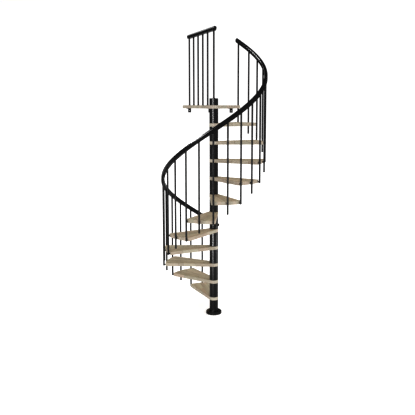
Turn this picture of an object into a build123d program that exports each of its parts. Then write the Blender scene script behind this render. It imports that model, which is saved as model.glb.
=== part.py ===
from build123d import *
import math
import os

# Spiral staircase with wooden treads on a steel column.
# Millimetres and degrees, +Z up. The origin is the middle of the base flange's underside, on the
# column's axis. Angles are counted from +X towards +Y, and the stair climbs that way round.

# The flight
riser = 220.0
tread_count = 11
step_angle = 30.0
first_tread_angle = 105.0
stair_radius = 612.0
fit_gap = 0.3
cut_overrun = 5.0

# The column: a pole inside spacer tubes, on a flange, under a cap
column_radius = 54.0
spacer_wall = 6.0
pole_radius = 21.0
pole_wall = 3.0
pole_stub = 40.0
flange_radius = 98.0
flange_thickness = 34.0
flange_arris = 5.0
flange_bolt_circle_radius = 75.0
flange_hole_radius = 5.5
flange_hole_count = 4
cap_height = 85.0
cap_arris = 3.0

# The wooden treads and the landing
tread_thickness = 40.0
hub_overhang = 2.0
tread_overlap = 48.0
corner_radius = 22.0
wood_arris = 2.0
landing_rail_angle = 111.4
landing_edge_angle = 60.0
landing_overhang = 44.0

# The balusters and the lugs that hold them to the edges of the treads
baluster_radius = 11.0
baluster_standoff = 21.0
baluster_arris = 2.0
lug_radius = 8.0
lug_drop = 20.0
foot_lug_drop = 26.0
foot_drop = 38.0
hanging_drop = 148.0

# The handrail: flat below, full round above
rail_width = 42.0
rail_height = 54.0
rail_lower_radius = 6.0
rail_rise = 933.0
rail_lower_overrun = 64.0
rail_upper_overrun = 41.0

# The straight rail of the landing
landing_rail_rise = 920.0
landing_rail_near_overrun = 36.0
landing_rail_far_overrun = 43.0
landing_first_gap = 215.0
landing_end_margin = 194.0
landing_baluster_count = 5

# The angle brackets that fix the landing to the upper floor
bracket_count = 3
bracket_near_margin = 142.0
bracket_far_margin = 138.0
bracket_width = 46.0
bracket_drop = 58.0
bracket_depth = 50.0
bracket_thickness = 5.0
bracket_hole_radius = 5.5
bracket_hole_drop = 32.0

# Sizes worked out from those above
landing_top = riser * (tread_count + 1)
hub_radius = column_radius + hub_overhang
landing_edge_distance = stair_radius + landing_overhang
baluster_circle = stair_radius + baluster_standoff
overlap_angle = math.degrees(tread_overlap / stair_radius)
tread_half_angle = (step_angle + overlap_angle) / 2
baluster_angle_step = step_angle / 2
first_baluster_angle = first_tread_angle - baluster_angle_step
last_baluster = 2 * tread_count
rail_slope = riser / (math.radians(step_angle) * baluster_circle)
rail_stretch = math.hypot(1, rail_slope)


def polar(radius, angle):
    """The plan point at a radius and an angle."""
    return (radius * math.cos(math.radians(angle)), radius * math.sin(math.radians(angle)))


def tangent_angle(point, side):
    """Angle of the point where a line from an outside point touches the hub; side is +1 or -1."""
    distance = math.hypot(*point)
    direction = math.degrees(math.atan2(point[1], point[0]))
    return direction + side * math.degrees(math.acos(hub_radius / distance))


def wooden_board(outline, corner_points, top):
    """A board of the treads' thickness: rounded corners, broken edges and a bore for the pole."""
    board = Pos(0, 0, top - tread_thickness) * extrude(make_face(outline), tread_thickness)
    uprights = board.edges().filter_by(Axis.Z)
    corners = [uprights.sort_by_distance((*point, top))[0] for point in corner_points]
    board = fillet(corners, corner_radius)
    faces = board.faces().sort_by(Axis.Z)
    board = chamfer(faces[0].edges() + faces[-1].edges(), wood_arris)
    bore = Cylinder(pole_radius + fit_gap, tread_thickness + 2 * cut_overrun)
    return board - Pos(0, 0, top - tread_thickness / 2) * bore


def tread(number):
    """A wedge with a round outer edge, whose straight sides run tangent to its round hub."""
    left = polar(stair_radius, tread_half_angle)
    right = polar(stair_radius, -tread_half_angle)
    left_touch = polar(hub_radius, tangent_angle(left, 1))
    right_touch = polar(hub_radius, tangent_angle(right, -1))
    outline = [
        Line(right_touch, right),
        ThreePointArc(right, polar(stair_radius, 0), left),
        Line(left, left_touch),
        ThreePointArc(left_touch, polar(-hub_radius, 0), right_touch),
    ]
    middle = first_tread_angle + step_angle * (number - 1)
    return Rot(0, 0, middle) * wooden_board(outline, [left, right], riser * number)


def landing_reach():
    """Length of the landing's open side, from abreast of the column's axis to the far corner."""
    turn = math.radians(landing_rail_angle - landing_edge_angle)
    return (landing_edge_distance + hub_radius * math.sin(turn)) / math.cos(turn)


def landing_corners():
    """Near and far corner of the landing's straight far edge."""
    nosing_angle = first_tread_angle + step_angle * tread_count - 360 - tread_half_angle
    turn = math.radians(nosing_angle - landing_edge_angle)
    near = polar(landing_edge_distance / math.cos(turn), nosing_angle)
    along_x, along_y = polar(landing_reach(), landing_rail_angle)
    side_x, side_y = polar(hub_radius, landing_rail_angle + 90)
    return near, (along_x + side_x, along_y + side_y)


def landing():
    """A wedge like a large tread with a straight far edge, bored for the last rod of the flight."""
    near, far = landing_corners()
    near_touch_angle = tangent_angle(near, -1)
    far_touch_angle = landing_rail_angle + 90
    near_touch = polar(hub_radius, near_touch_angle)
    far_touch = polar(hub_radius, far_touch_angle)
    hub_back = polar(hub_radius, (near_touch_angle + far_touch_angle) / 2 + 180)
    outline = [
        Line(near_touch, near),
        Line(near, far),
        Line(far, far_touch),
        ThreePointArc(far_touch, hub_back, near_touch),
    ]
    board = wooden_board(outline, [near, far], landing_top)
    rod_place = polar(baluster_circle, first_baluster_angle + baluster_angle_step * last_baluster)
    rod_hole = Cylinder(baluster_radius + fit_gap, tread_thickness + 2 * cut_overrun)
    return board - Pos(*rod_place, landing_top - tread_thickness / 2) * rod_hole


def base_flange():
    """The thick round foot of the column, with a ring of bolt holes."""
    plate = Pos(0, 0, flange_thickness / 2) * Cylinder(flange_radius, flange_thickness)
    plate = chamfer(plate.edges().group_by(Axis.Z)[-1], flange_arris)
    hole = Cylinder(flange_hole_radius, flange_thickness + 2 * cut_overrun)
    places = PolarLocations(flange_bolt_circle_radius, flange_hole_count, start_angle=180 / flange_hole_count)
    return plate - [Pos(0, 0, flange_thickness / 2) * place * hole for place in places]


def spacer(number):
    """A tube that stands on the flange or a tread's hub and carries the next hub."""
    low = flange_thickness if number == 1 else riser * (number - 1)
    height = riser * number - tread_thickness - low
    tube = Cylinder(column_radius, height) - Cylinder(column_radius - spacer_wall, height)
    return Pos(0, 0, low + height / 2) * tube


def central_pole():
    """The tube on which spacers and treads are threaded, from the flange up into the cap."""
    height = landing_top + pole_stub - flange_thickness
    tube = Cylinder(pole_radius, height) - Cylinder(pole_radius - pole_wall, height)
    return Pos(0, 0, flange_thickness + height / 2) * tube


def pole_cap():
    """The end of the column above the landing, with a blind bore over the pole's stub."""
    cap = Pos(0, 0, landing_top + cap_height / 2) * Cylinder(column_radius, cap_height)
    cap = chamfer(cap.edges().group_by(Axis.Z)[-1], cap_arris)
    bore_height = pole_stub + fit_gap
    return cap - Pos(0, 0, landing_top + bore_height / 2) * Cylinder(pole_radius + fit_gap, bore_height)


def rail_profile():
    """Section of both rails, middle at the origin: flat underside, full round top."""
    half_width = rail_width / 2
    bottom = -rail_height / 2
    shoulder = rail_height / 2 - half_width
    outline = [
        Line((-half_width, bottom), (half_width, bottom)),
        Line((half_width, bottom), (half_width, shoulder)),
        ThreePointArc((half_width, shoulder), (0, rail_height / 2), (-half_width, shoulder)),
        Line((-half_width, shoulder), (-half_width, bottom)),
    ]
    face = make_face(outline)
    return fillet(face.vertices().group_by(Axis.Y)[0], rail_lower_radius)


def rail_level(index):
    """Height of the middle of the handrail at a baluster's place along the flight."""
    return rail_rise + riser * (index + 1) / 2


def handrail():
    """The section carried up a helix, square to it, from before the first rod to past the last."""
    angle_per_length = math.degrees(1 / baluster_circle)
    lower_angle = first_baluster_angle - rail_lower_overrun * angle_per_length
    turn = last_baluster * baluster_angle_step + (rail_lower_overrun + rail_upper_overrun) * angle_per_length
    pitch = riser * 360 / step_angle
    start = rail_level(0) - rail_slope * rail_lower_overrun
    path = Pos(0, 0, start) * Rot(0, 0, lower_angle) * Helix(pitch, pitch * turn / 360, baluster_circle)
    section_plane = Plane(path @ 0, x_dir=(*polar(-1, lower_angle), 0), z_dir=path % 0)
    return sweep(section_plane * rail_profile(), path=path, is_frenet=True)


def lug(level):
    """The short round lug from a baluster at angle zero to the edge of a tread."""
    length = baluster_standoff - fit_gap
    return Pos(stair_radius + fit_gap + length / 2, 0, level) * Rot(0, 90, 0) * Cylinder(lug_radius, length)


def flight_baluster(index, foot, lug_levels):
    """A rod outside the treads with its lugs, cut along the slope of the handrail at its top."""
    top = rail_level(index)
    rod = Pos(baluster_circle, 0, (foot + top) / 2) * Cylinder(baluster_radius, top - foot)
    rod = chamfer(rod.edges().group_by(Axis.Z)[0], baluster_arris)
    rod = rod + [lug(level) for level in lug_levels]
    seat = top - rail_height / 2 * rail_stretch - fit_gap * rail_stretch
    seat_plane = Plane((baluster_circle, 0, seat), x_dir=(1, 0, 0), z_dir=(0, -rail_slope, 1))
    rod = split(rod, bisect_by=seat_plane, keep=Keep.BOTTOM)
    return Rot(0, 0, first_baluster_angle + baluster_angle_step * index) * rod


def start_baluster():
    """The first rod, at the front corner of the lowest tread."""
    return flight_baluster(0, riser - hanging_drop, [riser - lug_drop])


def tread_balusters(number):
    """The rod at the middle of a tread, and the rod that ties its back corner to the next tread.

    The last tie passes through the landing, so it has no upper lug.
    """
    level = riser * number
    middle = flight_baluster(2 * number - 1, level - hanging_drop, [level - lug_drop])
    lug_levels = [level - foot_lug_drop]
    if number < tread_count:
        lug_levels.append(level + riser - lug_drop)
    tie = flight_baluster(2 * number, level - foot_drop, lug_levels)
    return Compound(children=[middle, tie])


def landing_baluster_places():
    """Distances of the rods from the column's axis along the landing's rail."""
    gap = (landing_reach() - landing_end_margin - landing_first_gap) / (landing_baluster_count - 1)
    return [landing_first_gap + gap * index for index in range(landing_baluster_count)]


def landing_balusters():
    """Upright rods under the straight rail: one on the cap, the others on the landing."""
    top = landing_top + landing_rail_rise - rail_height / 2
    rods = []
    for distance in [0] + landing_baluster_places():
        foot = landing_top if distance else landing_top + cap_height
        place = polar(distance, landing_rail_angle)
        rods.append(Pos(*place, (foot + top) / 2) * Cylinder(baluster_radius, top - foot))
    return Compound(children=rods)


def landing_rail():
    """The straight rail along the open side of the landing."""
    last = landing_baluster_places()[-1]
    length = landing_rail_near_overrun + last + landing_rail_far_overrun
    start = polar(-landing_rail_near_overrun, landing_rail_angle)
    along = (*polar(1, landing_rail_angle), 0)
    across = (*polar(1, landing_rail_angle + 90), 0)
    plane = Plane((*start, landing_top + landing_rail_rise), x_dir=across, z_dir=along)
    return extrude(plane * rail_profile(), length)


def landing_brackets():
    """Angles under the far edge of the landing, each with a bolt hole in its hanging leg."""
    near, far = landing_corners()
    edge_length = math.dist(near, far)
    gap = (edge_length - bracket_near_margin - bracket_far_margin) / (bracket_count - 1)
    flat = Box(bracket_depth, bracket_width, bracket_thickness, align=(Align.MAX, Align.CENTER, Align.MAX))
    leg = Box(bracket_thickness, bracket_width, bracket_drop, align=(Align.MAX, Align.CENTER, Align.MAX))
    hole = Rot(0, 90, 0) * Cylinder(bracket_hole_radius, bracket_depth)
    angle = flat + leg - Pos(0, 0, -bracket_hole_drop) * hole
    brackets = []
    for index in range(bracket_count):
        share = (bracket_near_margin + gap * index) / edge_length
        x = near[0] + (far[0] - near[0]) * share
        y = near[1] + (far[1] - near[1]) * share
        brackets.append(Pos(x, y, landing_top - tread_thickness) * Rot(0, 0, landing_edge_angle) * angle)
    return Compound(children=brackets)


nodes = {
    "base_flange": base_flange(),
    "central_pole": central_pole(),
    "landing": landing(),
    "pole_cap": pole_cap(),
    "handrail": handrail(),
    "start_baluster": start_baluster(),
    "landing_balusters": landing_balusters(),
    "landing_rail": landing_rail(),
    "landing_brackets": landing_brackets(),
}
for number in range(1, tread_count + 2):
    nodes[f"spacer_{number:02d}"] = spacer(number)
for number in range(1, tread_count + 1):
    nodes[f"tread_{number:02d}"] = tread(number)
    nodes[f"balusters_{number:02d}"] = tread_balusters(number)

os.makedirs("parts", exist_ok=True)
for name, shape in nodes.items():
    export_step(shape, f"parts/{name}.step")
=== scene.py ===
import bmesh
import bpy
import math
import numpy as np
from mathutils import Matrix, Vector, geometry


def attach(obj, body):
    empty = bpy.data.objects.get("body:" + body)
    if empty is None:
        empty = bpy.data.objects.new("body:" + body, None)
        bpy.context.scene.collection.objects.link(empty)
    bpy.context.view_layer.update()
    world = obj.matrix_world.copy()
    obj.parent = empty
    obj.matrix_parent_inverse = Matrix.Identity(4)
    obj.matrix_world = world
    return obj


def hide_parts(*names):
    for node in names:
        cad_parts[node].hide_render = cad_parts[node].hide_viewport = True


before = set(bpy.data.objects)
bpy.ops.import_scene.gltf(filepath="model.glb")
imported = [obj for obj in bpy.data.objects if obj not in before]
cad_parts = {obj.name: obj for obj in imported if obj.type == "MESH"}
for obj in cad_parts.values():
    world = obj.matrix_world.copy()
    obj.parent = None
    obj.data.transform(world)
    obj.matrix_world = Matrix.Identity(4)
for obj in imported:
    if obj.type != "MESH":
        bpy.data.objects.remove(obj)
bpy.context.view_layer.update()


# The floor plate: a turned steel disc at the foot of the column, sprayed with satin black powder
# and baked. Four hexagon bolts on washers go through its ring of holes into the floor.
plate_top = 0.034
anchor_circle = 0.075
anchor_angles = np.radians([45.0, 135.0, 225.0, 315.0])
washer_radius, washer_height, washer_edge = 0.0105, 0.0018, 0.0005
anchor_inradius, anchor_height, anchor_edge = 0.0075, 0.0062, 0.0012
turn_steps = 48
merge_gap, flat_gap, sharp_edge_degrees = 1e-6, 1e-7, 35.0
drift_repeats, peel_repeats = 6.0, 620.0
drift_share, peel_share = 0.6, 0.4
grain_low, grain_high = 0.3, 0.7
peel_strength, peel_relief = 0.5, 0.00004


def add_node(tree, kind, inputs=None, **settings):
    """One node in a tree; each input is a plain value or the output socket that feeds it."""
    made = tree.nodes.new(kind)
    for key, value in settings.items():
        setattr(made, key, value)
    for key, value in (inputs or {}).items():
        if isinstance(value, bpy.types.NodeSocket):
            tree.links.new(value, made.inputs[key])
        else:
            made.inputs[key].default_value = value
    return made


def calc(tree, operation, *values):
    """Output socket of one Math node."""
    return add_node(tree, "ShaderNodeMath", dict(enumerate(values)), operation=operation).outputs[0]


def ramp(tree, value, low, high, at_low, at_high):
    """Output socket of one Map Range node: at_low up to low, at_high from high on, straight between."""
    return add_node(tree, "ShaderNodeMapRange", {0: value, 1: low, 2: high, 3: at_low, 4: at_high}).outputs[0]


def noise(tree, place, repeats, detail):
    """Output socket of one Noise Texture node, with its repeats per unit of the place that it reads."""
    values = {"Vector": place, "Scale": repeats, "Detail": detail}
    return add_node(tree, "ShaderNodeTexNoise", values).outputs[0]


def blend_colour(tree, factor, first, second, kind="MIX"):
    """Output socket of one colour Mix node."""
    mixer = tree.nodes.new("ShaderNodeMix")
    mixer.data_type, mixer.blend_type = "RGBA", kind
    for socket, value in ((mixer.inputs[0], factor), (mixer.inputs[6], first), (mixer.inputs[7], second)):
        if isinstance(value, bpy.types.NodeSocket):
            tree.links.new(value, socket)
        else:
            socket.default_value = value
    return mixer.outputs[2]


def start_group(name, inputs):
    """A shader node group for a finish, with named inputs; returns its tree, input node and output node."""
    tree = bpy.data.node_groups.new(name, "ShaderNodeTree")
    for socket_name, kind in inputs.items():
        tree.interface.new_socket(socket_name, in_out="INPUT", socket_type="NodeSocket" + kind)
    for socket_name, kind in (("Colour", "Color"), ("Roughness", "Float"), ("Height", "Float")):
        tree.interface.new_socket(socket_name, in_out="OUTPUT", socket_type="NodeSocket" + kind)
    return tree, tree.nodes.new("NodeGroupInput"), tree.nodes.new("NodeGroupOutput")


def end_group(tree, result, colour, roughness, height):
    """Leads a finish's colour, roughness and height to the group's output node."""
    for name, socket in (("Colour", colour), ("Roughness", roughness), ("Height", height)):
        tree.links.new(socket, result.inputs[name])


def build_powder_grain():
    """Group for a sprayed and baked coat: a fine orange peel, and a tone that drifts from place to place."""
    tree, given, result = start_group(
        "powder_grain",
        {"Place": "Vector", "Deep": "Color", "Bright": "Color", "Smooth": "Float", "Rough": "Float"})
    place, deep, bright, smooth, rough = list(given.outputs)[:5]
    drift = noise(tree, place, drift_repeats, 3.0)
    peel = noise(tree, place, peel_repeats, 2.0)
    drift_part = calc(tree, "MULTIPLY", drift, drift_share)
    mixed = calc(tree, "ADD", drift_part, calc(tree, "MULTIPLY", peel, peel_share))
    spread = ramp(tree, mixed, grain_low, grain_high, 0.0, 1.0)
    colour = blend_colour(tree, spread, deep, bright)
    roughness = calc(tree, "MULTIPLY_ADD", spread, calc(tree, "SUBTRACT", rough, smooth), smooth)
    end_group(tree, result, colour, roughness, peel)
    return tree


def start_material(name):
    """A material with nodes; returns it and its tree."""
    material = bpy.data.materials.new(name)
    material.use_nodes = True
    return material, material.node_tree


def feed_shader(tree, colour, roughness, height, strength, relief, specular):
    """Leads a finish to the shader of a material, its height through a bump of relief metres."""
    shader = tree.nodes["Principled BSDF"]
    bump = add_node(tree, "ShaderNodeBump", {"Height": height, "Strength": strength, "Distance": relief})
    tree.links.new(colour, shader.inputs["Base Color"])
    tree.links.new(roughness, shader.inputs["Roughness"])
    tree.links.new(bump.outputs[0], shader.inputs["Normal"])
    shader.inputs["Specular IOR Level"].default_value = specular


def coated(name, deep, bright, smooth, rough, specular):
    """A coated metal: the powder grain between two tones and two levels of gloss."""
    material, tree = start_material(name)
    place = add_node(tree, "ShaderNodeTexCoord").outputs["Object"]
    values = {"Place": place, "Deep": deep, "Bright": bright, "Smooth": smooth, "Rough": rough}
    grain = add_node(tree, "ShaderNodeGroup", values, node_tree=powder_grain)
    feed_shader(tree, *grain.outputs, peel_strength, peel_relief, specular)
    return material


def turned(profile, around=np.ones_like):
    """Grid of a turned form: each (radius, height) of the profile goes once round +Z.

    The radius is multiplied by around, a function of the angle.
    """
    angles = np.linspace(0, 2 * np.pi, turn_steps, endpoint=False)
    profile = np.asarray(profile, float)
    radius = profile[:, :1] * around(angles)
    height = np.broadcast_to(profile[:, 1:2], radius.shape)
    return np.stack([radius * np.cos(angles), radius * np.sin(angles), height], axis=-1)


def hexagon(angles):
    """Radius of a hexagon with inradius one: one over the cosine of the angle to its nearest flat."""
    return 1 / np.cos((angles + np.pi / 6) % (np.pi / 3) - np.pi / 6)


def stood(grid, foot, axis):
    """The grid turned so that its +Z points along axis, and moved so that its origin is at foot."""
    turn = Vector((0, 0, 1)).rotation_difference(Vector(axis)).to_matrix()
    return grid @ np.array(turn).T + np.asarray(foot)


def patch(grid):
    """Corners and four-sided faces of a grid of points, whose last column is joined to its first."""
    index = np.arange(grid.shape[0] * grid.shape[1]).reshape(grid.shape[:2])
    index = np.concatenate([index, index[:, :1]], axis=1)
    faces = np.stack([index[:-1, :-1], index[:-1, 1:], index[1:, 1:], index[1:, :-1]], axis=-1)
    return grid.reshape(-1, 3), faces.reshape(-1, 4)


def piece(name, patches, material, stands_for=(), attribute=None):
    """One finished piece: the patches with shared corners merged, smooth but for its sharp edges.

    attribute is a name and a vector for each corner, for a pattern that follows the piece.
    """
    starts = np.cumsum([0] + [len(corners) for corners, faces in patches])
    corners = np.concatenate([corners for corners, faces in patches])
    faces = [face for start, (_, part) in zip(starts, patches) for face in (part + start).tolist()]
    mesh = bpy.data.meshes.new(name)
    mesh.from_pydata(corners.tolist(), [], faces)
    if attribute:
        layer = mesh.attributes.new(attribute[0], "FLOAT_VECTOR", "POINT")
        layer.data.foreach_set("vector", np.ascontiguousarray(attribute[1], np.float32).ravel())
    merged = bmesh.new()
    merged.from_mesh(mesh)
    bmesh.ops.remove_doubles(merged, verts=merged.verts, dist=merge_gap)
    bmesh.ops.dissolve_degenerate(merged, edges=merged.edges, dist=flat_gap)
    merged.to_mesh(mesh)
    merged.free()
    mesh.polygons.foreach_set("use_smooth", np.ones(len(mesh.polygons), bool))
    mesh.set_sharp_from_angle(angle=math.radians(sharp_edge_degrees))
    mesh.materials.append(material)
    made = bpy.data.objects.new(name, mesh)
    bpy.context.scene.collection.objects.link(made)
    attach(made, "root")
    if stands_for:
        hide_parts(*stands_for)
    return made


def dress(node, material):
    """Gives a piece of the frame its finish."""
    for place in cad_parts[node].material_slots:
        place.material = material


powder_grain = build_powder_grain()
black_powder = coated("satin_black_powder", deep=(0.0095, 0.0095, 0.0100, 1.0),
                      bright=(0.0160, 0.0160, 0.0168, 1.0), smooth=0.24, rough=0.34, specular=0.40)
black_fastener = coated("blackened_fastener", deep=(0.0130, 0.0130, 0.0138, 1.0),
                        bright=(0.0220, 0.0220, 0.0230, 1.0), smooth=0.26, rough=0.38, specular=0.40)
dress("base_flange", black_powder)

washer = turned([(0, 0), (washer_radius, 0), (washer_radius, washer_height - washer_edge),
                 (washer_radius - washer_edge, washer_height), (0, washer_height)])
head_top = washer_height + anchor_height
head = turned([(0, washer_height), (anchor_inradius, washer_height),
               (anchor_inradius, head_top - anchor_edge),
               (anchor_inradius - anchor_edge, head_top), (0, head_top)], hexagon)
anchors = []
for angle in anchor_angles:
    foot = (anchor_circle * math.cos(angle), anchor_circle * math.sin(angle), plate_top)
    anchors += [patch(stood(grid, foot, (0, 0, 1))) for grid in (washer, head)]
piece("floor_anchors", anchors, black_fastener)


# The column: one long pole stands on the plate, and twelve black spacer tubes are threaded on it
# between the hubs of the treads, so that the pile is clamped by the cap at its top.
spacer_count = 12
spacer_names = [f"spacer_{number:02d}" for number in range(1, spacer_count + 1)]
for name in ["central_pole", "pole_cap"] + spacer_names:
    dress(name, black_powder)


# The treads: eleven wedges of oak, glued up from staves that run from the column outwards, with a
# round hub, a round outer edge and softened arrises, finished with a matt lacquer.
tread_count, riser, tread_thickness = 11, 0.220, 0.040
first_tread_angle, step_angle = 105.0, 30.0
hub_radius, stair_radius, nosing_overlap = 0.056, 0.612, 0.048
corner_radius, wood_arris, arris_rim, arris_steps = 0.022, 0.0025, 0.0015, 5
pole_hole_radius = 0.0213
straight_steps, arc_step, arc_degrees, sliver_area = 10, 0.010, 5.0, 1e-9
stave_width, stave_length, stave_stagger, stave_seed = 0.046, 0.36, 7.0, 0.5
grain_jump, board_jump = (9.0, 3.0, 3.0), np.array([1.731, 0.917, 0.0])
sway_repeats, sway_reach = (1.6, 9.0, 9.0), 0.030
pith_aside, pith_below, pith_below_least = 0.11, 0.06, 0.012
ring_spacing, late_wood_power = 0.0052, 2.5
broad_repeats, fibre_repeats, pore_repeats = (2.2, 75.0, 75.0), (5.0, 330.0, 330.0), (30.0, 1300.0, 1300.0)
broad_share, fibre_share, late_wood_share = 0.95, 0.45, 0.26
streaks_low, streaks_high = 0.42, 1.16
pore_low, pore_high, pore_strength = 0.56, 0.72, 0.55
joint_width, joint_strength = 0.0007, 0.7
shade_least, shade_span = 0.87, 0.24
oak_roughness, broad_roughness, pore_roughness = 0.40, 0.14, 0.16
fibre_height, oak_bump, oak_relief, oak_specular = 0.35, 0.6, 0.0003, 0.38
oak_light, oak_dark = (0.724, 0.655, 0.527, 1.0), (0.486, 0.415, 0.309, 1.0)
oak_pink, oak_straw = (1.04, 0.965, 0.92, 1.0), (0.97, 1.0, 0.95, 1.0)
oak_pore, oak_joint = (0.55, 0.50, 0.45, 1.0), (0.62, 0.56, 0.50, 1.0)
# The sanded edges' cooler tint, partly painted light: upright faces take the colour that lit edges show.
edge_tint_and_painted_light = (0.92, 0.94, 1.03, 1.0)
# Painted highlight: the hub's upright face is made paler, as where light falls on it.
painted_hub_light, painted_hub_fade = (1.08, 1.11, 1.16, 1.0), 0.012


def direction(degrees):
    """Unit vectors in plan at angles in degrees."""
    angles = np.radians(degrees)
    return np.stack([np.cos(angles), np.sin(angles)], axis=-1)


def outline_of(arcs):
    """Points and outward normals of a convex outline: arcs, each joined to the next by a straight tangent.

    An arc is (centre, radius, first and last angle of its normal in degrees), and its points are the centre
    plus the radius times the normal. The arcs follow each other counter-clockwise.
    """
    points, normals = [], []
    for (centre, radius, first, last), following in zip(arcs, arcs[1:] + arcs[:1]):
        turn = last - first
        steps = 1 + math.ceil(max(turn / arc_degrees, radius * math.radians(turn) / arc_step))
        normal = direction(np.linspace(first, last, steps))
        points.append(np.asarray(centre) + radius * normal)
        normals.append(normal)
        next_centre, next_radius, next_first, _ = following
        target = np.asarray(next_centre) + next_radius * direction(next_first)
        share = np.linspace(0, 1, straight_steps)[1:-1, None]
        points.append(points[-1][-1] * (1 - share) + target * share)
        normals.append(np.repeat(normal[-1:], len(share), axis=0))
    points, normals = np.concatenate(points), np.concatenate(normals)
    apart = np.linalg.norm(points - np.roll(points, 1, axis=0), axis=1) > merge_gap
    return points[apart], normals[apart]


def board(points, normals, holes, top, thickness):
    """Patches of a board, with its holes given as centres and radii.

    Its edge is the outline, moved in by an inset and lifted to a height for each row: a flat rim, a quarter
    round, the upright edge, a quarter round and a rim. The flats are filled with triangles between the edge
    and the holes; slivers along the edge are dropped.
    """
    turn = np.linspace(0, np.pi / 2, arris_steps)
    rim = [wood_arris + arris_rim]
    arris_in = wood_arris * (1 - np.sin(turn))
    arris_up = wood_arris * (1 - np.cos(turn))
    inset = np.concatenate([rim, arris_in, arris_up, rim])
    height = np.concatenate([[0], arris_up, thickness - arris_in, [thickness]])
    edge = np.empty((len(inset), len(points), 3))
    edge[..., :2] = points - inset[:, None, None] * normals
    edge[..., 2] = top - thickness + height[:, None]
    circle = direction(np.linspace(0, 360, turn_steps, endpoint=False))
    rings = [edge[0, :, :2]] + [np.asarray(centre) + radius * circle for centre, radius in holes]
    starts = np.cumsum([0] + [len(ring) for ring in rings])
    spans = [np.arange(start, end) for start, end in zip(starts[:-1], starts[1:])]
    ties = np.concatenate([np.column_stack([span, np.roll(span, -1)]) for span in spans])
    flat = np.concatenate(rings)
    filled = geometry.delaunay_2d_cdt([Vector(point) for point in flat], ties.tolist(), [], 0, flat_gap)
    triangles = np.array(filled[2])
    first, second = (flat[triangles[:, k]] - flat[triangles[:, 0]] for k in (1, 2))
    triangles = triangles[first[:, 0] * second[:, 1] - first[:, 1] * second[:, 0] > sliver_area]
    middles = flat[triangles].mean(axis=1)
    for centre, radius in holes:
        outside = np.linalg.norm(middles - np.asarray(centre), axis=1) > radius
        triangles, middles = triangles[outside], middles[outside]
    upper = np.column_stack([flat, np.full(len(flat), top)])
    lower = np.column_stack([flat, np.full(len(flat), top - thickness)])
    walls = [np.stack([upper[span], lower[span]]) for span in spans[1:]]
    return [patch(edge), (upper, triangles), (lower, triangles[:, ::-1])] + [patch(wall) for wall in walls]


def calc_vector(tree, operation, *values):
    """Output socket of one Vector Math node."""
    return add_node(tree, "ShaderNodeVectorMath", dict(enumerate(values)), operation=operation).outputs[0]


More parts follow.
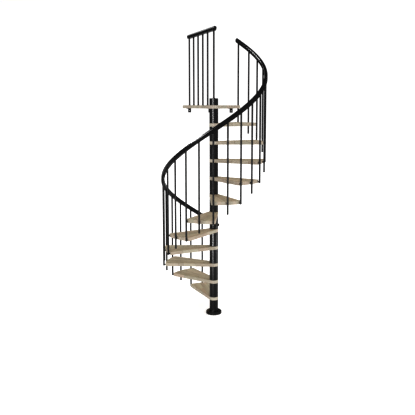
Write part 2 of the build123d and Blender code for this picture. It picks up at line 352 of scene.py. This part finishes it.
def build_oak_staves():
    """Group for glued oak.

    A stave is a row across and a run along the board, with its own random seed. Its year rings are circles
    about a pith beside the stave, swayed by a slow noise; fibres and pores are noises drawn out along the
    board; thin dark lines mark the glue joints.
    """
    tree, given, result = start_group("oak_staves", {"Place": "Vector"})
    on_board = given.outputs["Place"]
    along, across, depth = add_node(tree, "ShaderNodeSeparateXYZ", {0: on_board}).outputs
    row_place = calc(tree, "DIVIDE", across, stave_width)
    row = calc(tree, "FLOOR", row_place)
    row_dice = add_node(tree, "ShaderNodeTexWhiteNoise", {"W": row}, noise_dimensions="1D").outputs["Value"]
    stagger = calc(tree, "MULTIPLY", row_dice, stave_stagger)
    run_place = calc(tree, "ADD", calc(tree, "DIVIDE", along, stave_length), stagger)
    run = calc(tree, "FLOOR", run_place)
    seed = add_node(tree, "ShaderNodeCombineXYZ", {0: row, 1: run, 2: stave_seed}).outputs[0]
    dice = add_node(tree, "ShaderNodeTexWhiteNoise", {"Vector": seed}, noise_dimensions="3D").outputs["Color"]
    first, second, third = add_node(tree, "ShaderNodeSeparateColor", {0: dice}).outputs
    place = calc_vector(tree, "ADD", on_board, calc_vector(tree, "MULTIPLY", dice, grain_jump))

    def drawn_out(repeats, detail):
        """A noise with its own repeats per metre along the board, across it and in its depth."""
        return noise(tree, calc_vector(tree, "MULTIPLY", place, repeats), 1.0, detail)

    def joint(at, pitch):
        """Mask of the glue lines: one near a whole number of pitches, and none a joint's width away."""
        from_middle = calc(tree, "ABSOLUTE", calc(tree, "SUBTRACT", calc(tree, "FRACT", at), 0.5))
        from_line = calc(tree, "MULTIPLY", calc(tree, "SUBTRACT", 0.5, from_middle), pitch)
        return ramp(tree, from_line, joint_width / 2, joint_width, 1.0, 0.0)

    sway = calc(tree, "MULTIPLY", calc(tree, "SUBTRACT", drawn_out(sway_repeats, 2.0), 0.5), sway_reach)
    in_stave = calc(tree, "MULTIPLY", calc(tree, "FRACT", row_place), stave_width)
    aside = calc(tree, "MULTIPLY", calc(tree, "SUBTRACT", second, 0.5), pith_aside)
    from_pith = calc(tree, "ADD", aside, calc(tree, "ADD", sway, in_stave))
    below = calc(tree, "MULTIPLY", third, pith_below)
    above_pith = calc(tree, "ADD", below, calc(tree, "ADD", depth, pith_below_least))
    aside_squared = calc(tree, "MULTIPLY", from_pith, from_pith)
    above_squared = calc(tree, "MULTIPLY", above_pith, above_pith)
    ring_radius = calc(tree, "SQRT", calc(tree, "ADD", aside_squared, above_squared))
    wave = calc(tree, "SINE", calc(tree, "MULTIPLY", ring_radius, 2 * math.pi / ring_spacing))
    late_wood = calc(tree, "POWER", calc(tree, "MULTIPLY_ADD", wave, 0.5, 0.5), late_wood_power)
    broad = drawn_out(broad_repeats, 3.0)
    fibre = drawn_out(fibre_repeats, 2.0)
    pores = ramp(tree, drawn_out(pore_repeats, 1.0), pore_low, pore_high, 0.0, 1.0)
    ring_streaks = calc(tree, "MULTIPLY", late_wood, late_wood_share)
    fine_streaks = calc(tree, "MULTIPLY_ADD", fibre, fibre_share, ring_streaks)
    streaks = calc(tree, "MULTIPLY_ADD", broad, broad_share, fine_streaks)
    colour = blend_colour(tree, ramp(tree, streaks, streaks_low, streaks_high, 0.0, 1.0), oak_light, oak_dark)
    shade = calc(tree, "MULTIPLY_ADD", third, shade_span, shade_least)
    grey = add_node(tree, "ShaderNodeCombineColor", {0: shade, 1: shade, 2: shade}).outputs[0]
    tint = blend_colour(tree, 1.0, blend_colour(tree, first, oak_pink, oak_straw), grey, "MULTIPLY")
    colour = blend_colour(tree, 1.0, colour, tint, "MULTIPLY")
    colour = blend_colour(tree, calc(tree, "MULTIPLY", pores, pore_strength), colour, oak_pore, "MULTIPLY")
    seams = calc(tree, "MAXIMUM", joint(row_place, stave_width), joint(run_place, stave_length))
    colour = blend_colour(tree, calc(tree, "MULTIPLY", seams, joint_strength), colour, oak_joint, "MULTIPLY")
    worn = calc(tree, "MULTIPLY_ADD", broad, broad_roughness, oak_roughness)
    roughness = calc(tree, "MULTIPLY_ADD", pores, pore_roughness, worn)
    fibre_relief = calc(tree, "MULTIPLY", fibre, fibre_height)
    end_group(tree, result, colour, roughness,
              calc(tree, "SUBTRACT", fibre_relief, calc(tree, "MAXIMUM", pores, seams)))
    return tree


def build_lacquered_oak():
    """The staves laid by the board's own attribute; sanded edges have a cooler tint that is partly painted
    light, and a painted highlight makes the hub's upright face paler.
    """
    material, tree = start_material("lacquered_oak")
    place = add_node(tree, "ShaderNodeAttribute", attribute_name="board").outputs["Vector"]
    oak = add_node(tree, "ShaderNodeGroup", {"Place": place}, node_tree=oak_staves).outputs
    surface = add_node(tree, "ShaderNodeTexCoord").outputs
    facing_up = add_node(tree, "ShaderNodeSeparateXYZ", {0: surface["Normal"]}).outputs[2]
    upright = calc(tree, "SUBTRACT", 1.0, calc(tree, "ABSOLUTE", facing_up))
    in_plan = calc_vector(tree, "MULTIPLY", surface["Object"], (1, 1, 0))
    from_axis = add_node(tree, "ShaderNodeVectorMath", {0: in_plan}, operation="LENGTH").outputs["Value"]
    # Mask of the hub, for its painted highlight.
    painted_hub_mask = ramp(tree, from_axis, hub_radius, hub_radius + painted_hub_fade, 1.0, 0.0)
    # Partly painted light: upright faces get the sanded edges' cooler tint, coloured as lit edges look.
    colour = blend_colour(tree, upright, oak["Colour"], edge_tint_and_painted_light, "MULTIPLY")
    # Painted highlight: the hub's upright face is made paler, as where light falls on it.
    colour = blend_colour(tree, calc(tree, "MULTIPLY", upright, painted_hub_mask), colour, painted_hub_light, "MULTIPLY")
    feed_shader(tree, colour, oak["Roughness"], oak["Height"], oak_bump, oak_relief, oak_specular)
    return material


def lay_board(name, patches, degrees, number):
    """A board from its patches in its own frame, turned to its place; each board shows other staves."""
    cos, sin = direction(degrees)
    own = np.concatenate([corners for corners, faces in patches])
    spin = np.array([[cos, -sin, 0], [sin, cos, 0], [0, 0, 1]])
    grain = own - [0, 0, own[:, 2].max()] + board_jump * number
    turned_patches = [(corners @ spin.T, faces) for corners, faces in patches]
    return piece(name + "_oak", turned_patches, lacquered_oak, [name], ("board", grain))


oak_staves = build_oak_staves()
lacquered_oak = build_lacquered_oak()
half_angle = (step_angle + math.degrees(nosing_overlap / stair_radius)) / 2
side_normal = half_angle + math.degrees(math.acos(hub_radius / stair_radius))
corner_circle = stair_radius - corner_radius
corner_angle = side_normal - math.degrees(math.acos((hub_radius - corner_radius) / corner_circle))
tread_outline = outline_of([
    ((0, 0), stair_radius, -corner_angle, corner_angle),
    (corner_circle * direction(corner_angle), corner_radius, corner_angle, side_normal),
    ((0, 0), hub_radius, side_normal, 360 - side_normal),
    (corner_circle * direction(-corner_angle), corner_radius, 360 - side_normal, 360 - corner_angle),
])
for number in range(1, tread_count + 1):
    shape = board(*tread_outline, [((0, 0), pole_hole_radius)], riser * number, tread_thickness)
    lay_board(f"tread_{number:02d}", shape, first_tread_angle + step_angle * (number - 1), number)


# The landing: one larger board of the same oak at the top of the column, with a straight far edge
# against the upper floor, and a hole near that edge for the last rod of the flight.
landing_top = riser * (tread_count + 1)
landing_edge_normal, landing_edge_distance = 60.0, 0.656
landing_side_normal = 201.4
landing_near_angle = first_tread_angle + step_angle * tread_count - 360 - half_angle
rod_circle, last_rod_angle, rod_hole_radius = 0.633, 60.0, 0.0113
landing_grain_angle = 86.0


def corner_centre(first, first_distance, second, second_distance):
    """Point at two given distances from the origin along two directions, which is where two lines cross."""
    return np.linalg.solve(direction([first, second]), [first_distance, second_distance])


near_distance = landing_edge_distance / math.cos(math.radians(landing_near_angle - landing_edge_normal))
near_side_normal = landing_near_angle - math.degrees(math.acos(hub_radius / near_distance))
inner_hub, inner_edge = hub_radius - corner_radius, landing_edge_distance - corner_radius
near_corner = corner_centre(near_side_normal, inner_hub, landing_edge_normal, inner_edge)
far_corner = corner_centre(landing_side_normal, inner_hub, landing_edge_normal, inner_edge)
landing_outline = outline_of([
    (near_corner, corner_radius, near_side_normal, landing_edge_normal),
    (far_corner, corner_radius, landing_edge_normal, landing_side_normal),
    ((0, 0), hub_radius, landing_side_normal, near_side_normal + 360),
])
to_grain = direction([landing_grain_angle, landing_grain_angle + 90]).T
landing_points, landing_normals = (vectors @ to_grain for vectors in landing_outline)
rod_hole = rod_circle * direction(last_rod_angle) @ to_grain
landing_holes = [((0, 0), pole_hole_radius), (rod_hole, rod_hole_radius)]
landing_shape = board(landing_points, landing_normals, landing_holes, landing_top, tread_thickness)
lay_board("landing", landing_shape, landing_grain_angle, tread_count + 1)


# The brackets: three pressed steel angles under the far edge of the landing, each held by two button-head
# screws. The hole in each hanging leg takes a bolt into the edge of the upper floor.
bracket_count, bracket_near_margin, bracket_far_margin = 3, 0.142, 0.138
bracket_thickness, bracket_screw_inset, bracket_screw_spread = 0.005, 0.030, 0.012
screw_radius, screw_height, screw_dome_degrees = 0.0056, 0.0032, 62.0
socket_inradius, socket_depth = 0.0020, 0.0016
round_steps = 7
dress("landing_brackets", black_powder)
dome_across, dome_up = direction(np.linspace(0, screw_dome_degrees, round_steps)).T
dome_rows = np.column_stack([screw_radius * dome_across, screw_height * dome_up / dome_up[-1]])
screw_dome = turned(np.concatenate([[(0, 0)], dome_rows]))
socket_floor = screw_height - socket_depth
socket_rows = [(socket_inradius, screw_height), (socket_inradius, socket_floor), (0, socket_floor)]
socket_wall = turned(socket_rows, hexagon)
socket_rim = np.stack([screw_dome[-1], socket_wall[0]])
screw_grids = (screw_dome, socket_rim, socket_wall)
edge_near = near_distance * direction(landing_near_angle)
edge_far = corner_centre(landing_side_normal, hub_radius, landing_edge_normal, landing_edge_distance)
edge_length = np.linalg.norm(edge_far - edge_near)
edge_along = (edge_far - edge_near) / edge_length
screw_line = edge_near - bracket_screw_inset * direction(landing_edge_normal)
flat_level = landing_top - tread_thickness - bracket_thickness
bracket_screws = []
for middle in np.linspace(bracket_near_margin, edge_length - bracket_far_margin, bracket_count):
    for distance in (middle - bracket_screw_spread, middle + bracket_screw_spread):
        foot = np.append(screw_line + distance * edge_along, flat_level)
        bracket_screws += [patch(stood(grid, foot, (0, 0, -1))) for grid in screw_grids]
piece("bracket_screws", bracket_screws, black_fastener)


# The balusters: straight round rods with a black coat, a little duller than the column's. Screws through
# them and short round lugs hold them to the edges of the treads, and plugs close their lower ends.
rod_radius = 0.011
first_rod_angle, rod_angle_step = 90.0, 15.0
lug_drop, foot_lug_drop, foot_drop, hanging_drop = 0.020, 0.026, 0.038, 0.148
screw_sunk = 0.0016
plug_radius, plug_height = 0.0088, 0.0022
rod_powder = coated("dull_black_powder", deep=(0.0085, 0.0085, 0.0090, 1.0),
                    bright=(0.0140, 0.0140, 0.0147, 1.0), smooth=0.30, rough=0.42, specular=0.36)
flight_rod_names = ["start_baluster"] + [f"balusters_{number:02d}" for number in range(1, tread_count + 1)]
for name in flight_rod_names:
    dress(name, rod_powder)

# Each lug is a rod's number and a height; each foot is a rod's number and the height of its lower end.
lugs, feet = [(0, riser - lug_drop)], [(0, riser - hanging_drop)]
for number in range(1, tread_count + 1):
    level = riser * number
    lugs += [(2 * number - 1, level - lug_drop), (2 * number, level - foot_lug_drop)]
    if number < tread_count:
        lugs.append((2 * number, level + riser - lug_drop))
    feet += [(2 * number - 1, level - hanging_drop), (2 * number, level - foot_drop)]


def rod_place(rod, radius, level):
    """Point at a radius from the column's axis, in the direction of a rod's number, at a level."""
    return np.append(radius * direction(first_rod_angle + rod_angle_step * rod), level)


screws = []
for rod, level in lugs:
    foot = rod_place(rod, rod_circle + rod_radius - screw_sunk, level)
    screws += [patch(stood(grid, foot, rod_place(rod, 1, 0))) for grid in screw_grids]
piece("baluster_screws", screws, black_fastener)

bow_across, bow_up = direction(np.linspace(90, 0, round_steps)).T
bow_rows = np.column_stack([plug_radius * bow_across, -plug_height * bow_up])
plug = turned(np.concatenate([bow_rows, [(0, 0)]]))
plugs = [patch(plug + rod_place(rod, rod_circle, level)) for rod, level in feet]
piece("baluster_plugs", plugs, black_fastener)


# The handrail: a moulded black rail with a flat underside and a full round top, bent to the helix of
# the rods and screwed on them from below. A plug with a domed nose and a fine seam closes each end.
rail_half_width, rail_half_height, rail_lower_radius = 0.021, 0.027, 0.006
rail_rise, rail_lower_overrun, rail_upper_overrun = 0.933, 0.064, 0.041
last_rod = 2 * tread_count
rail_step, cap_steps, nose_steps = 0.012, 6, 5
cap_round, cap_seam_at, cap_seam_half, cap_seam_depth = 0.004, 0.046, 0.0004, 0.0005
nose_length, nose_tip, nose_below, nose_above, nose_beside = 0.045, 0.008, 0.025, 0.009, 0.006
line_repeats, fine_repeats, hand_repeats = (1.5, 420.0, 420.0), 1100.0, 9.0
rail_roughness, line_roughness, hand_roughness = 0.11, 0.05, 0.10
line_height, fine_height = 0.5, 0.5
rail_deep, rail_bright = (0.0070, 0.0070, 0.0075, 1.0), (0.0120, 0.0120, 0.0127, 1.0)
rail_bump, rail_relief, rail_specular = 0.35, 0.00004, 0.30


def build_draw_lines():
    """Group for a moulded rail: faint lines drawn out along it, and a fine grain all over."""
    tree, given, result = start_group("draw_lines", {"Place": "Vector", "Deep": "Color", "Bright": "Color"})
    place = given.outputs["Place"]
    lines = noise(tree, calc_vector(tree, "MULTIPLY", place, line_repeats), 1.0, 2.0)
    fine = noise(tree, place, fine_repeats, 2.0)
    hands = noise(tree, place, hand_repeats, 3.0)
    colour = blend_colour(tree, hands, given.outputs["Deep"], given.outputs["Bright"])
    drawn = calc(tree, "MULTIPLY_ADD", lines, line_roughness, rail_roughness)
    roughness = calc(tree, "MULTIPLY_ADD", hands, hand_roughness, drawn)
    height = calc(tree, "MULTIPLY_ADD", lines, line_height, calc(tree, "MULTIPLY", fine, fine_height))
    end_group(tree, result, colour, roughness, height)
    return tree


def build_moulded_rail():
    """Black moulded plastic, with the draw lines laid by the rail's own attribute."""
    material, tree = start_material("moulded_black_rail")
    place = add_node(tree, "ShaderNodeAttribute", attribute_name="rail").outputs["Vector"]
    values = {"Place": place, "Deep": rail_deep, "Bright": rail_bright}
    drawn = add_node(tree, "ShaderNodeGroup", values, node_tree=draw_lines)
    feed_shader(tree, *drawn.outputs, rail_bump, rail_relief, rail_specular)
    return material


def rail_rows(length):
    """Rows of a rail from end to end: distance along it, inset of the section, and share kept of its size.

    Each end is a closed face, a quarter round, a plug and a fine seam; the run between has rows a rail step
    apart.
    """
    turn = np.linspace(0, np.pi / 2, cap_steps)
    seam = [cap_seam_at - cap_seam_half, cap_seam_at, cap_seam_at + cap_seam_half]
    sides = np.linspace(cap_round, nose_length, nose_steps)[1:]
    face = np.sin(turn[:-1])
    along = np.concatenate([0 * face, cap_round * (1 - np.cos(turn)), sides, seam])
    round_inset = np.concatenate([0 * face + cap_round, cap_round * (1 - np.sin(turn))])
    inset = np.concatenate([round_inset, 0 * sides, [0, cap_seam_depth, 0]])
    kept = np.concatenate([face, np.ones(len(along) - len(face))])
    run_steps = math.ceil((length - 2 * along[-1]) / rail_step)
    run = np.linspace(along[-1], length - along[-1], run_steps + 1)[1:-1]
    return (np.concatenate([along, run, length - along[::-1]]),
            np.concatenate([inset, np.zeros_like(run), inset[::-1]]),
            np.concatenate([kept, np.ones_like(run), kept[::-1]]))


def rail_skin(name, length, course):
    """A rail: the section, moved in and shrunk row by row, carried along a course of middles and axes.

    course gives, for distances along the rail, the middle of the section and its across and upward axes.
    Towards an end, each point is set back by the square of its distance from the nose's tip, most of all
    below it.
    """
    along, inset, kept = rail_rows(length)
    section = (rail_section[0] - inset[:, None, None] * rail_section[1]) * kept[:, None, None]
    beside, above = section[..., 0] / rail_half_width, section[..., 1] - nose_tip
    share = np.where(above < 0, above / (rail_half_height + nose_tip), above / (rail_half_height - nose_tip))
    back = nose_beside * beside ** 2 + np.where(above < 0, nose_below, nose_above) * share ** 2
    near_start = np.clip(1 - along / nose_length, 0, 1)[:, None]
    near_end = np.clip(1 - (length - along) / nose_length, 0, 1)[:, None]
    along = along[:, None] + back * (near_start - near_end)
    middle, across, upward = course(along)
    grid = middle + section[..., :1] * across + section[..., 1:] * upward
    place = np.concatenate([along[..., None], section], axis=-1).reshape(-1, 3)
    return piece(name + "_moulding", [patch(grid)], moulded_rail, [name], ("rail", place))


draw_lines = build_draw_lines()
moulded_rail = build_moulded_rail()
rail_shoulder = rail_half_height - rail_half_width
fillet_x, fillet_y = rail_half_width - rail_lower_radius, rail_lower_radius - rail_half_height
rail_section = outline_of([
    ((0, rail_shoulder), rail_half_width, 0, 180),
    ((-fillet_x, fillet_y), rail_lower_radius, 180, 270),
    ((fillet_x, fillet_y), rail_lower_radius, 270, 360),
])
rail_slope = riser / (math.radians(step_angle) * rod_circle)
rail_stretch = math.hypot(1, rail_slope)
rail_turn = math.radians(last_rod * rod_angle_step) * rod_circle
rail_start_angle = math.radians(first_rod_angle) - rail_lower_overrun / rod_circle
rail_start = rail_rise + riser / 2 - rail_slope * rail_lower_overrun
rail_length = (rail_turn + rail_lower_overrun + rail_upper_overrun) * rail_stretch


def helix_course(along):
    """Middle and axes on the helix.

    The angle grows by the plan length over the radius, and the height by the plan length times the slope.
    """
    plan_length = along / rail_stretch
    angle = rail_start_angle + plan_length / rod_circle
    cos, sin, flat = np.cos(angle), np.sin(angle), np.zeros_like(angle)
    middle = np.stack([rod_circle * cos, rod_circle * sin, rail_start + rail_slope * plan_length], axis=-1)
    inward = np.stack([-cos, -sin, flat], axis=-1)
    upward = np.stack([rail_slope * sin, -rail_slope * cos, flat + 1], axis=-1) / rail_stretch
    return middle, inward, upward


rails = [rail_skin("handrail", rail_length, helix_course)]


# The landing's railing: six upright rods, one on the cap of the column and five on the landing, under
# a straight length of the same rail. Low collars finish the rods where they meet the wood and the cap.
landing_rail_degrees = 111.4
landing_rail_level, landing_rail_near, landing_rail_far = 3.560, 0.050, 0.046
cap_top = 2.725
first_rod_gap, last_rod_margin, landing_rod_count = 0.215, 0.194, 5
collar_radius, collar_height, collar_edge, collar_steps = 0.0150, 0.0055, 0.0018, 5
dress("landing_balusters", rod_powder)
edge_turn = math.radians(landing_rail_degrees - landing_edge_normal)
landing_reach = (landing_edge_distance + hub_radius * math.sin(edge_turn)) / math.cos(edge_turn)
landing_rods = np.append(0, np.linspace(first_rod_gap, landing_reach - last_rod_margin, landing_rod_count))
landing_rail_length = landing_rail_near + landing_rods[-1] + landing_rail_far
rail_along = np.append(direction(landing_rail_degrees), 0)
rail_across = np.append(direction(landing_rail_degrees + 90), 0)


def straight_course(along):
    """Middle and axes on the straight rail, which starts short of the column by its near overrun."""
    middle = np.array([0, 0, landing_rail_level]) + (along[..., None] - landing_rail_near) * rail_along
    shape = middle.shape
    return middle, np.broadcast_to(rail_across, shape), np.broadcast_to([0.0, 0.0, 1.0], shape)


rails.append(rail_skin("landing_rail", landing_rail_length, straight_course))
ease_in, ease_up = 1 - direction(np.linspace(0, 90, collar_steps)).T
collar_rows = np.column_stack([collar_radius - collar_edge * ease_in, collar_height - collar_edge * ease_up])
collar = turned(np.concatenate([[(rod_radius, 0), (collar_radius, 0)], collar_rows,
                                [(rod_radius, collar_height), (rod_radius, 0)]]))
collars = []
for distance in landing_rods:
    foot = distance * rail_along + [0, 0, landing_top if distance else cap_top]
    collars.append(patch(collar + foot))
piece("landing_collars", collars, black_fastener)


# The studio: a pale floor under a white surround that is brighter from the right and dim in reflections.
# Narrow soft lights draw the highlights on the column and the rods, and wider ones draw those on the
# rails; each of them falls on its own pieces alone. One weak light fills the foot.
floor_rings = np.array([40.0, 16.0, 8.0, 4.0, 2.0, 1.0, 0.5, 0.0])
floor_dark, floor_light, floor_mirrored = (0.86, 0.86, 0.86, 1), (0.90, 0.90, 0.90, 1), (0.55, 0.55, 0.55, 1)
floor_cloud_repeats, floor_roughness, floor_glow = 1.3, 0.9, 0.45
white = (1, 1, 1, 1)
surround_level, surround_lean = 1.15, 0.32
mirror_front, mirror_back = -0.4, 0.5
front_dimming, back_dimming = -0.68, -0.94
photo_width, focal_pixels, sensor_width = 415, 588.1, 36.0
camera_place, camera_shift = (0.0571, -7.2708, 2.644), (-0.0152, -0.0665)
camera_dip, camera_turn = 7.26, 0.45
picture_gamma = 0.7

floor_mesh = bpy.data.meshes.new("floor")
floor_corners, floor_faces = patch(turned(np.column_stack([floor_rings, np.zeros_like(floor_rings)])))
floor_mesh.from_pydata(floor_corners.tolist(), [], floor_faces.tolist())
floor = bpy.data.objects.new("floor", floor_mesh)
bpy.context.scene.collection.objects.link(floor)
floor_paint, paint_tree = start_material("pale_floor")
paint = paint_tree.nodes["Principled BSDF"].inputs
paint_place = add_node(paint_tree, "ShaderNodeTexCoord").outputs["Object"]
paint_ray = add_node(paint_tree, "ShaderNodeLightPath").outputs
cloud = noise(paint_tree, paint_place, floor_cloud_repeats, 3.0)
pale = blend_colour(paint_tree, cloud, floor_dark, floor_light)
pale = blend_colour(paint_tree, paint_ray["Is Glossy Ray"], pale, floor_mirrored)
paint_tree.links.new(pale, paint["Base Color"])
paint["Roughness"].default_value = floor_roughness
paint["Specular IOR Level"].default_value = 0.0
paint["Emission Color"].default_value = white
glow = calc(paint_tree, "MULTIPLY", paint_ray["Is Camera Ray"], floor_glow)
paint_tree.links.new(glow, paint["Emission Strength"])
floor_mesh.materials.append(floor_paint)

world = bpy.data.worlds.new("white_surround")
bpy.context.scene.world = world
world.use_nodes = True
sky = world.node_tree
sky_ray = add_node(sky, "ShaderNodeLightPath").outputs
sky_direction = add_node(sky, "ShaderNodeTexCoord").outputs["Generated"]
sky_axes = add_node(sky, "ShaderNodeSeparateXYZ", {0: sky_direction}).outputs
diffuse_level = calc(sky, "MULTIPLY_ADD", sky_axes["X"], surround_lean, surround_level)
dimming = ramp(sky, sky_axes["Y"], mirror_front, mirror_back, front_dimming, back_dimming)
kept_light = calc(sky, "MULTIPLY_ADD", sky_ray["Is Glossy Ray"], dimming, 1.0)
unseen_level = calc(sky, "MULTIPLY", diffuse_level, kept_light)
sky_level = calc(sky, "MAXIMUM", sky_ray["Is Camera Ray"], unseen_level)
background = sky.nodes["Background"].inputs
background["Color"].default_value = white
sky.links.new(sky_level, background["Strength"])


def soft_light(name, place, aim, width, height, power, lit=None):
    """A rectangular soft light at a place, turned towards an aim.

    One with lit pieces only makes their highlights, and one without has no highlight at all.
    """
    lamp = bpy.data.lights.new(name, "AREA")
    lamp.shape, lamp.size, lamp.size_y, lamp.energy = "RECTANGLE", width, height, power
    holder = bpy.data.objects.new(name, lamp)
    holder.location = place
    holder.rotation_euler = (Vector(aim) - Vector(place)).to_track_quat("-Z", "Y").to_euler()
    holder.visible_camera = False
    holder.visible_glossy, holder.visible_diffuse = bool(lit), not lit
    if lit:
        holder.light_linking.receiver_collection = lit
    bpy.context.scene.collection.objects.link(holder)


def lit_pieces(name, pieces):
    """The pieces that a highlight light falls on."""
    made = bpy.data.collections.new(name)
    for each in pieces:
        made.objects.link(each)
    return made


column_names = ["base_flange", "pole_cap"] + spacer_names
rod_names = flight_rod_names + ["landing_balusters"]
column_pieces = lit_pieces("column_pieces", [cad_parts[name] for name in column_names])
rod_pieces = lit_pieces("rod_pieces", [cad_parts[name] for name in rod_names])
rail_pieces = lit_pieces("rail_pieces", rails)
soft_light("front_light", place=(-1.6, -2.6, 0.35), aim=(0, 0, 0.35), width=1.6, height=0.5, power=5)
soft_light("pole_strip", place=(-0.90, -2.25, 2.08), aim=(0, 0, 2.08), width=0.30, height=2.75, power=135,
           lit=column_pieces)
soft_light("low_strip", place=(-0.90, -2.25, 0.46), aim=(0, 0, 0.46), width=0.30, height=0.55, power=50,
           lit=column_pieces)
soft_light("right_strip", place=(2.6, -0.6, 0.28), aim=(0, 0, 0.28), width=0.5, height=0.55, power=14,
           lit=column_pieces)
soft_light("rod_strip", place=(-0.90, -2.25, 2.08), aim=(0, 0, 2.08), width=0.30, height=2.75, power=55,
           lit=rod_pieces)
soft_light("rail_strip", place=(-1.50, -2.05, 3.15), aim=(-0.12, -0.60, 2.40), width=0.80, height=1.4,
           power=90, lit=rail_pieces)
soft_light("left_panel", place=(-4.0, 0.8, 5.55), aim=(0.42, 0.46, 3.3), width=3.0, height=1.2, power=700,
           lit=rail_pieces)
soft_light("back_panel", place=(-2.6, 4.0, 5.2), aim=(0, 0, 3.57), width=1.4, height=0.8, power=12,
           lit=rail_pieces)

camera_data = bpy.data.cameras.new("photo_view")
camera_data.sensor_width = sensor_width
camera_data.lens = focal_pixels / photo_width * sensor_width
camera_data.shift_x, camera_data.shift_y = camera_shift
camera = bpy.data.objects.new("photo_view", camera_data)
camera.location = camera_place
camera.rotation_euler = (math.radians(90 - camera_dip), 0, math.radians(camera_turn))
bpy.context.scene.collection.objects.link(camera)
bpy.context.scene.camera = camera
# The gamma darkens the middle tones, so that the soft edges of thin rods look as full as they should.
bpy.context.scene.view_settings.view_transform = "Standard"
bpy.context.scene.view_settings.gamma = picture_gamma
